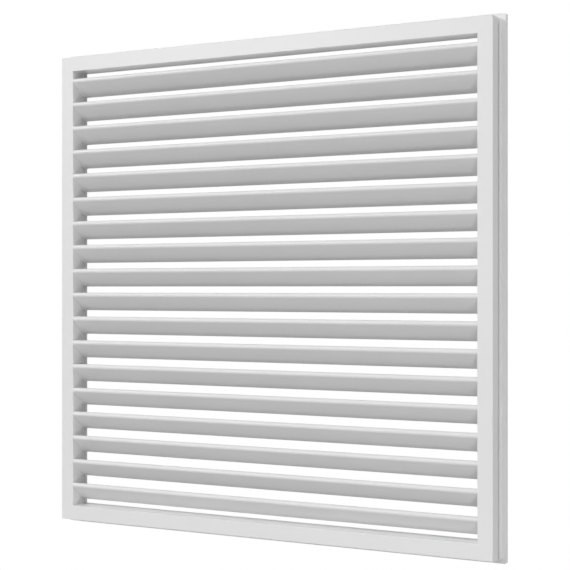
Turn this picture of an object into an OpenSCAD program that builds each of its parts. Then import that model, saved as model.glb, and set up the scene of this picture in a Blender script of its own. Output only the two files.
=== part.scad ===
// Square louvred wall grille in two moulded parts: a front panel with fixed
// slats, and a frame that is screwed to the wall and that the panel clips onto.
// Millimetres. The origin is the centre of the wall face, +Z is up, and the
// front looks along -Y.

/* [Front panel] */
// Outer width of the front panel
panel_w = 350; // [200:1:600]
// Outer height of the front panel
panel_h = 350; // [200:1:600]
// Width of the border around the slats
border_w = 10.7; // [10.6:0.1:16]
// Thickness of the border's face
face_t = 2; // [1.4:0.1:2.6]
// Thickness of the skirt around the outside
skirt_t = 1.6; // [1.2:0.1:1.7]
// Height of the skirt, seen from the side
skirt_h = 8.9; // [8:0.1:14]
// Thickness of the lining around the opening
lining_t = 1.6; // [1.2:0.1:1.7]
// Radius of the border's front edges
edge_r = 0.4; // [0.2:0.1:0.8]
// Bevel at the back of the lining, which shows as a fine seam
seam_bevel = 0.4; // [0.2:0.1:0.8]

/* [Slats] */
// Distance from one slat to the next
slat_pitch = 18; // [16:0.5:30]
// Gap between the top of the opening and the first slat
slat_first = 5.45; // [2:0.05:12]
// Distance from the back of the lining to the slats' rear edges
slat_setback = 1; // [0.2:0.1:4]
// Height of a slat, from the top of its nose to its rear edge
slat_drop = 13.4; // [8:0.1:15]
// Radius of the rounded nose
nose_r = 1.95; // [1.2:0.05:2.4]
// Radius of the thin rear edge
tail_r = 0.6; // [0.4:0.05:0.9]

/* [Wall frame] */
// Thickness of the flange that lies on the wall
flange_t = 3; // [2:0.1:5]
// How far the flange stands out past the panel
flange_lip = 3.4; // [1:0.1:10]
// Radius of the flange's corners
flange_corner_r = 1.2; // [0.5:0.1:4]
// Height of the rim on the flange
rim_h = 3.1; // [2:0.1:5]
// Shadow gap between the rim and the skirt
shadow_gap = 2.5; // [1:0.1:4]
// Thickness of the upright wall inside the skirt
upstand_t = 1.4; // [1.2:0.1:1.5]
// Room between the skirt and the upright wall
skirt_clearance = 0.3; // [0.2:0.05:0.4]
// Room between the upright wall and the back of the border's face
upstand_headroom = 1; // [0.5:0.1:2]

/* [Clips] */
// Length of a clip
clip_len = 14; // [8:1:30]
// Height of a clip
clip_h = 2; // [1.4:0.1:2.6]
// How far a clip stands in from the skirt
clip_out = 1.1; // [0.6:0.1:1.4]
// Distance from the skirt's rear edge to a clip
clip_above = 1.4; // [1:0.1:1.8]
// Distance from a corner of the panel to the middle of a clip
clip_from_corner = 85; // [40:1:90]
// Room around a clip in its window
clip_clearance = 0.4; // [0.2:0.1:0.6]

/* [Screw holes] */
// Diameter of a screw hole
screw_d = 3.2; // [2.6:0.1:3.6]
// Diameter of the countersink for the screw's head
screw_head_d = 5.6; // [4.8:0.1:5.7]

/* [Hidden] */
past = 1;                      // how far a cut runs past the face it opens
arc_steps = 4;                 // steps in a quarter turn of a small radius
$fn = 48;                      // sides of a full round
plastic = [0.94, 0.94, 0.94];

// Levels above the wall, with the model lying on its back
rim_top = flange_t + rim_h;
skirt_end = rim_top + shadow_gap;
depth = skirt_end + skirt_h;
face_back = depth - face_t;
upstand_top = face_back - upstand_headroom;
slat_back = flange_t + slat_setback;

// Outlines seen from the front
opening_w = panel_w - 2 * border_w;
opening_h = panel_h - 2 * border_w;

// How much smaller than the panel the rings behind its face are
inside_skirt = 2 * skirt_t;
outside_upstand = inside_skirt + 2 * skirt_clearance;
inside_upstand = outside_upstand + 2 * upstand_t;

// The channel between the lining and the upright wall takes the screw heads
channel_in = border_w - lining_t;
channel_out = skirt_t + skirt_clearance + upstand_t;
screw_inset = (channel_in + channel_out) / 2;
countersink_h = (screw_head_d - screw_d) / 2;

slat_count = floor((opening_h - slat_first - slat_drop) / slat_pitch) + 1;

// Points on an arc about a centre, from one angle to another
function arc(centre, r, from, to, steps) =
    [for (i = [0:steps]) centre + r * [cos(from + (to - from) * i / steps),
                                       sin(from + (to - from) * i / steps)]];

// Rectangle with rounded corners, as a list of points
function rounded_rect(w, h, r) =
    [for (k = [0:3])
        let (sx = (k == 0 || k == 3) ? 1 : -1, sy = k < 2 ? 1 : -1)
        each arc([sx * (w / 2 - r), sy * (h / 2 - r)], r, 90 * k, 90 * k + 90, arc_steps)];

// Side outline of a block, with rounded edges at its top
function block_outline(w, low, high, r) =
    concat([[-w / 2, low], [w / 2, low]],
           arc([w / 2 - r, high - r], r, 0, 90, arc_steps),
           arc([-w / 2 + r, high - r], r, 90, 180, arc_steps));

// Side outline of an opening, which flares at its front edge by a radius
// and at its back edge by a bevel
function opening_outline(w, low, high, r, bevel) =
    concat([[-w / 2 - bevel - past, low - past], [w / 2 + bevel + past, low - past],
            [w / 2, low + bevel]],
           arc([w / 2 + r, high - r], r, 180, 90, arc_steps),
           [[w / 2 + r, high + past], [-w / 2 - r, high + past]],
           arc([-w / 2 - r, high - r], r, 90, 0, arc_steps),
           [[-w / 2, low + bevel]]);

// Section of a slat: a line from a round nose to a thinner round rear edge,
// with the top of the nose at 0 and the wall at level 0
function slat_section() =
    let (nose = [-nose_r, depth - nose_r],
         tail = [-slat_drop + tail_r, slat_back + tail_r],
         run = tail - nose,
         lean = atan2(run[1], run[0]),
         open = acos((nose_r - tail_r) / norm(run)))
    concat(arc(nose, nose_r, lean + open, lean + 360 - open, 3 * arc_steps),
           arc(tail, tail_r, lean - open, lean + open, 2 * arc_steps));

// The model is drawn on its back and then stood up, facing -Y
module stand_up() {
    rotate([90, 0, 0]) children();
}

// Plain block, centred, between two levels
module block(w, h, low, high) {
    translate([-w / 2, -h / 2, low]) cube([w, h, high - low]);
}

// What two side outlines have in common, one seen along each side
module crossed(w_outline, h_outline, w, h) {
    intersection() {
        rotate([90, 0, 0]) linear_extrude(h + 4 * past, center = true) polygon(w_outline);
        rotate([90, 0, 90]) linear_extrude(w + 4 * past, center = true) polygon(h_outline);
    }
}

// Puts its child at both clip places of all four sides; the child is drawn
// at the outer face of a side that looks along +X
module at_clips() {
    for (side = [0:3]) {
        across = side % 2 == 0 ? panel_w / 2 : panel_h / 2;
        along = (side % 2 == 0 ? panel_h / 2 : panel_w / 2) - clip_from_corner;
        for (end = [-1, 1])
            rotate([0, 0, 90 * side]) translate([across, end * along, 0]) children();
    }
}

// Wedge on the inside of the skirt, with a slope to ride over the wall
module clip() {
    low = skirt_end + clip_above;
    root = -skirt_t / 2;
    tip = -skirt_t - clip_out;
    rotate([90, 0, 0]) linear_extrude(clip_len, center = true)
        polygon([[root, low], [-skirt_t, low], [tip, low + clip_h / 2],
                 [tip, low + clip_h * 3 / 4], [-skirt_t, low + clip_h], [root, low + clip_h]]);
}

// Hole through the upright wall for a clip
module clip_window() {
    outer = -skirt_t - skirt_clearance;
    translate([outer - upstand_t - past, -clip_len / 2 - clip_clearance,
               skirt_end + clip_above - clip_clearance])
        cube([upstand_t + 2 * past, clip_len + 2 * clip_clearance,
              clip_h + 2 * clip_clearance]);
}

module slats() {
    for (i = [0:slat_count - 1])
        translate([0, opening_h / 2 - slat_first - i * slat_pitch, 0])
            rotate([90, 0, 90]) linear_extrude(opening_w + lining_t, center = true)
                polygon(slat_section());
}

// Border of the panel: a channel, open at the back, with its skirt shorter
// than its lining
module border() {
    difference() {
        crossed(block_outline(panel_w, flange_t, depth, edge_r),
                block_outline(panel_h, flange_t, depth, edge_r), panel_w, panel_h);
        difference() {
            union() {
                block(panel_w - inside_skirt, panel_h - inside_skirt, 0, face_back);
                block(panel_w + 2 * past, panel_h + 2 * past, 0, skirt_end);
            }
            block(opening_w + 2 * lining_t, opening_h + 2 * lining_t, 0, depth);
        }
        crossed(opening_outline(opening_w, flange_t, depth, edge_r, seam_bevel),
                opening_outline(opening_h, flange_t, depth, edge_r, seam_bevel),
                panel_w, panel_h);
    }
}

module front_grille() {
    color(plastic) stand_up() {
        border();
        slats();
        at_clips() clip();
    }
}

module screw_hole() {
    translate([0, 0, -past]) cylinder(h = flange_t + 2 * past, d = screw_d);
    translate([0, 0, flange_t - countersink_h])
        cylinder(h = countersink_h, d1 = screw_d, d2 = screw_head_d);
    translate([0, 0, flange_t]) cylinder(h = past, d = screw_head_d);
}

module at_screws() {
    for (sx = [-1, 1], sy = [-1, 1])
        translate([sx * (panel_w / 2 - screw_inset), sy * (panel_h / 2 - screw_inset), 0])
            children();
}

module rear_frame() {
    color(plastic) stand_up() difference() {
        union() {
            linear_extrude(flange_t)
                polygon(rounded_rect(panel_w + 2 * flange_lip, panel_h + 2 * flange_lip,
                                     flange_corner_r));
            block(panel_w, panel_h, 0, rim_top);
            block(panel_w - outside_upstand, panel_h - outside_upstand, 0, upstand_top);
        }
        block(panel_w - inside_upstand, panel_h - inside_upstand, flange_t, depth);
        block(opening_w, opening_h, -past, depth);
        at_clips() clip_window();
        at_screws() screw_hole();
    }
}

front_grille();
rear_frame();
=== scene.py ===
# Looks for the louvred wall grille: both mouldings with eased edges and a satin
# white plastic, the photograph's camera, and plain soft studio light.
import math

import bmesh
import bpy
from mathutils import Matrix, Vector


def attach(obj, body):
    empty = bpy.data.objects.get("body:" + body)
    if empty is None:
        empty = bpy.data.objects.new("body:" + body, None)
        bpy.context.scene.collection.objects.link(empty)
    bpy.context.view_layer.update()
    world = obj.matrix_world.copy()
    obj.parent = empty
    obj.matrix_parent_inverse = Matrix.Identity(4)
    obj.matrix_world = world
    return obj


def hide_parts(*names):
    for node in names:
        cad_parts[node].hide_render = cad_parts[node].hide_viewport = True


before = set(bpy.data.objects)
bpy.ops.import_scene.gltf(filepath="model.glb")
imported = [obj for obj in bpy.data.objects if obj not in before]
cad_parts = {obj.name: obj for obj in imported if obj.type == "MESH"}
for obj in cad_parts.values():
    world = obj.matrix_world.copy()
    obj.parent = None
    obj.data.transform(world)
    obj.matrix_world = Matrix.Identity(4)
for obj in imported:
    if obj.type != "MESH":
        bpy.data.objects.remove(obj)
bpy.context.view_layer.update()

MM = 0.001

# Camera, fitted to the photograph's straight edges
CAMERA_AT = Vector((0.5249, -0.8847, 0.0001))
CAMERA_YAW = math.radians(30.14)
LEVEL = math.radians(90)
FOCAL_PX = 1447.4
PHOTO_PX = 570
SENSOR_MM = 36
HORIZON_PX = 288.3
NEAREST_SEEN = 10 * MM

# Edges of the mouldings: first the solid's points and flat faces are joined up, then its
# outer edges are eased, and edges that are still sharp keep a hard line
MERGE_WITHIN = 0.001 * MM
FLAT_WITHIN = math.radians(1)
SHARP_FROM = math.radians(40)
EASE_RADIUS = 0.18 * MM
EASE_STEPS = 2
EASE_MIN_LENGTH = 3 * MM
ROUND_PROFILE = 0.5
CLEAN_WITHIN = 0.01 * MM

# White plastic: darkest and lightest white, least and most roughness, and the sizes of
# the pattern in each
PLASTIC_WHITE = (0.82, 0.84)
PLASTIC_ROUGHNESS = (0.35, 0.41)
PLASTIC_SPECULAR = 0.3
CLOUD_SIZE = 60 * MM
SATIN_SIZE = 5 * MM
GRAIN_SIZE = 0.6 * MM
GRAIN_HEIGHT = 0.003 * MM
NOISE_MIDDLE = (0.25, 0.75)

# Studio: soft boxes give nearly all the light, and the floor and what lies behind the
# part look white to the camera and in reflections
WHITE = (1, 1, 1, 1)
AMBIENT = 0.04
FLOOR_BELOW = 1.5
FLOOR_RADIUS = 3.0
FLOOR_SIDES = 128
FLOOR_SHADE = 0.6
FLOOR_GLOW = 0.55
BOX_DISTANCE = 5.0
BOX_SIZE = 2.5


def add_camera():
    data = bpy.data.cameras.new("camera")
    data.sensor_width = SENSOR_MM
    data.lens = FOCAL_PX * SENSOR_MM / PHOTO_PX
    data.shift_y = (HORIZON_PX - PHOTO_PX / 2) / PHOTO_PX
    data.clip_start = NEAREST_SEEN
    camera = bpy.data.objects.new("camera", data)
    camera.location = CAMERA_AT
    camera.rotation_euler = (LEVEL, 0, CAMERA_YAW)
    bpy.context.scene.collection.objects.link(camera)
    bpy.context.scene.camera = camera


def outer_edges(bm):
    """Long straight edges that stick out, which a mould leaves slightly rounded."""
    return [
        edge for edge in bm.edges
        if len(edge.link_faces) == 2
        and edge.calc_face_angle_signed() > SHARP_FROM
        and edge.calc_length() > EASE_MIN_LENGTH
    ]


def moulding(node, name):
    """A copy of a CAD node's solid as one clean shell, with its outer edges eased."""
    bm = bmesh.new()
    bm.from_mesh(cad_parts[node].data)
    bmesh.ops.remove_doubles(bm, verts=bm.verts, dist=MERGE_WITHIN)
    bmesh.ops.dissolve_limit(bm, angle_limit=FLAT_WITHIN, verts=bm.verts, edges=bm.edges)
    bmesh.ops.bevel(bm, geom=outer_edges(bm), offset=EASE_RADIUS, segments=EASE_STEPS,
                    profile=ROUND_PROFILE, affect="EDGES", clamp_overlap=True)
    bmesh.ops.remove_doubles(bm, verts=bm.verts, dist=CLEAN_WITHIN)
    for face in bm.faces:
        face.smooth = True
    for edge in bm.edges:
        if len(edge.link_faces) == 2 and edge.calc_face_angle() > SHARP_FROM:
            edge.smooth = False
    mesh = bpy.data.meshes.new(name)
    bm.to_mesh(mesh)
    bm.free()
    piece = bpy.data.objects.new(name, mesh)
    bpy.context.scene.collection.objects.link(piece)
    normals = piece.modifiers.new("even_normals", "WEIGHTED_NORMAL")
    normals.keep_sharp = True
    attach(piece, "root")
    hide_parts(node)
    return piece


def noise(nodes, links, where, feature, detail):
    """Noise in space, 0 to 1, with features of about the given size in metres."""
    texture = nodes.new("ShaderNodeTexNoise")
    texture.inputs["Scale"].default_value = 1 / feature
    texture.inputs["Detail"].default_value = detail
    links.new(where, texture.inputs["Vector"])
    return texture.outputs["Fac"]


def between(nodes, links, amount, low, high):
    """Takes the middle half of a noise to the range from low to high."""
    spread = nodes.new("ShaderNodeMapRange")
    spread.inputs["From Min"].default_value = NOISE_MIDDLE[0]
    spread.inputs["From Max"].default_value = NOISE_MIDDLE[1]
    spread.inputs["To Min"].default_value = low
    spread.inputs["To Max"].default_value = high
    links.new(amount, spread.inputs["Value"])
    return spread.outputs["Result"]


def white_plastic(name, shift):
    """Satin white plastic: an even white with faint clouds, slightly uneven gloss and
    the fine grain of the mould. The shift moves the pattern from part to part."""
    material = bpy.data.materials.new(name)
    material.use_nodes = True
    nodes, links = material.node_tree.nodes, material.node_tree.links
    shader = nodes["Principled BSDF"]
    shader.inputs["Specular IOR Level"].default_value = PLASTIC_SPECULAR

    place = nodes.new("ShaderNodeMapping")
    place.inputs["Location"].default_value = (shift, shift, shift)
    links.new(nodes.new("ShaderNodeTexCoord").outputs["Object"], place.inputs["Vector"])
    where = place.outputs["Vector"]

    clouds = noise(nodes, links, where, CLOUD_SIZE, detail=2)
    white = nodes.new("ShaderNodeCombineColor")
    level = between(nodes, links, clouds, *PLASTIC_WHITE)
    for channel in ("Red", "Green", "Blue"):
        links.new(level, white.inputs[channel])
    links.new(white.outputs["Color"], shader.inputs["Base Color"])

    satin = noise(nodes, links, where, SATIN_SIZE, detail=3)
    links.new(between(nodes, links, satin, *PLASTIC_ROUGHNESS), shader.inputs["Roughness"])

    grain = nodes.new("ShaderNodeBump")
    grain.inputs["Strength"].default_value = 1
    grain.inputs["Distance"].default_value = GRAIN_HEIGHT
    links.new(noise(nodes, links, where, GRAIN_SIZE, detail=2), grain.inputs["Height"])
    links.new(grain.outputs["Normal"], shader.inputs["Normal"])
    return material


def seen_directly(nodes, links):
    """1 for rays from the camera and for mirror-like and clear reflections, else 0."""
    path = nodes.new("ShaderNodeLightPath")
    seen = path.outputs["Is Camera Ray"]
    for ray in ("Is Glossy Ray", "Is Transmission Ray"):
        either = nodes.new("ShaderNodeMath")
        either.operation = "MAXIMUM"
        links.new(seen, either.inputs[0])
        links.new(path.outputs[ray], either.inputs[1])
        seen = either.outputs[0]
    return seen


def add_world():
    """A weak even light from all round, which looks white where it is seen directly."""
    world = bpy.data.worlds.new("studio")
    bpy.context.scene.world = world
    world.use_nodes = True
    nodes, links = world.node_tree.nodes, world.node_tree.links
    ambient = nodes["Background"]
    ambient.inputs["Color"].default_value = WHITE
    ambient.inputs["Strength"].default_value = AMBIENT
    white = nodes.new("ShaderNodeBackground")
    white.inputs["Color"].default_value = WHITE
    white.inputs["Strength"].default_value = 1
    choice = nodes.new("ShaderNodeMixShader")
    links.new(seen_directly(nodes, links), choice.inputs["Fac"])
    links.new(ambient.outputs[0], choice.inputs[1])
    links.new(white.outputs[0], choice.inputs[2])
    links.new(choice.outputs[0], nodes["World Output"].inputs["Surface"])


def add_floor():
    """A pale matt disc, lifted to near white where it is seen directly."""
    bm = bmesh.new()
    bmesh.ops.create_circle(bm, cap_ends=True, radius=FLOOR_RADIUS, segments=FLOOR_SIDES)
    mesh = bpy.data.meshes.new("floor")
    bm.to_mesh(mesh)
    bm.free()
    floor = bpy.data.objects.new("floor", mesh)
    floor.location.z = -FLOOR_BELOW
    bpy.context.scene.collection.objects.link(floor)

    material = bpy.data.materials.new("floor")
    material.use_nodes = True
    nodes, links = material.node_tree.nodes, material.node_tree.links
    nodes.remove(nodes["Principled BSDF"])
    matt = nodes.new("ShaderNodeBsdfDiffuse")
    matt.inputs["Color"].default_value = (FLOOR_SHADE, FLOOR_SHADE, FLOOR_SHADE, 1)
    glow = nodes.new("ShaderNodeEmission")
    brightness = nodes.new("ShaderNodeMath")
    brightness.operation = "MULTIPLY"
    brightness.inputs[1].default_value = FLOOR_GLOW
    links.new(seen_directly(nodes, links), brightness.inputs[0])
    links.new(brightness.outputs[0], glow.inputs["Strength"])
    both = nodes.new("ShaderNodeAddShader")
    links.new(matt.outputs[0], both.inputs[0])
    links.new(glow.outputs[0], both.inputs[1])
    links.new(both.outputs[0], nodes["Material Output"].inputs["Surface"])
    mesh.materials.append(material)


def softbox(name, azimuth, elevation, watts, distance=BOX_DISTANCE, size=BOX_SIZE):
    """A round soft box that looks at the part. Azimuth 0 is straight in front of it,
    and positive to the right."""
    around, up = math.radians(azimuth), math.radians(elevation)
    place = distance * Vector((math.sin(around) * math.cos(up),
                               -math.cos(around) * math.cos(up), math.sin(up)))
    data = bpy.data.lights.new(name, "AREA")
    data.shape = "DISK"
    data.size = size
    data.energy = watts
    lamp = bpy.data.objects.new(name, data)
    lamp.location = place
    lamp.rotation_euler = (-place).to_track_quat("-Z", "Y").to_euler()
    lamp.visible_camera = False
    bpy.context.scene.collection.objects.link(lamp)


def add_lights():
    softbox("left", -60, 35, 52)
    softbox("key", -33, 16, 75, size=0.65)
    softbox("front", 0, 0, 29)
    softbox("top", 0, 50, 58)
    softbox("right", 80, 5, 50)
    softbox("right_high", 90, 30, 32)
    softbox("low_right", 45, -25, 6.3, distance=1.9, size=0.6)
    softbox("back", 180, 20, 19)


add_camera()
add_world()
add_floor()
add_lights()
panel = moulding("front_grille", "front_panel_moulding")
wall_frame = moulding("rear_frame", "wall_frame_moulding")
panel.data.materials.append(white_plastic("satin_white_panel", shift=0))
wall_frame.data.materials.append(white_plastic("satin_white_frame", shift=1))

bpy.context.scene.view_settings.view_transform = "Standard"
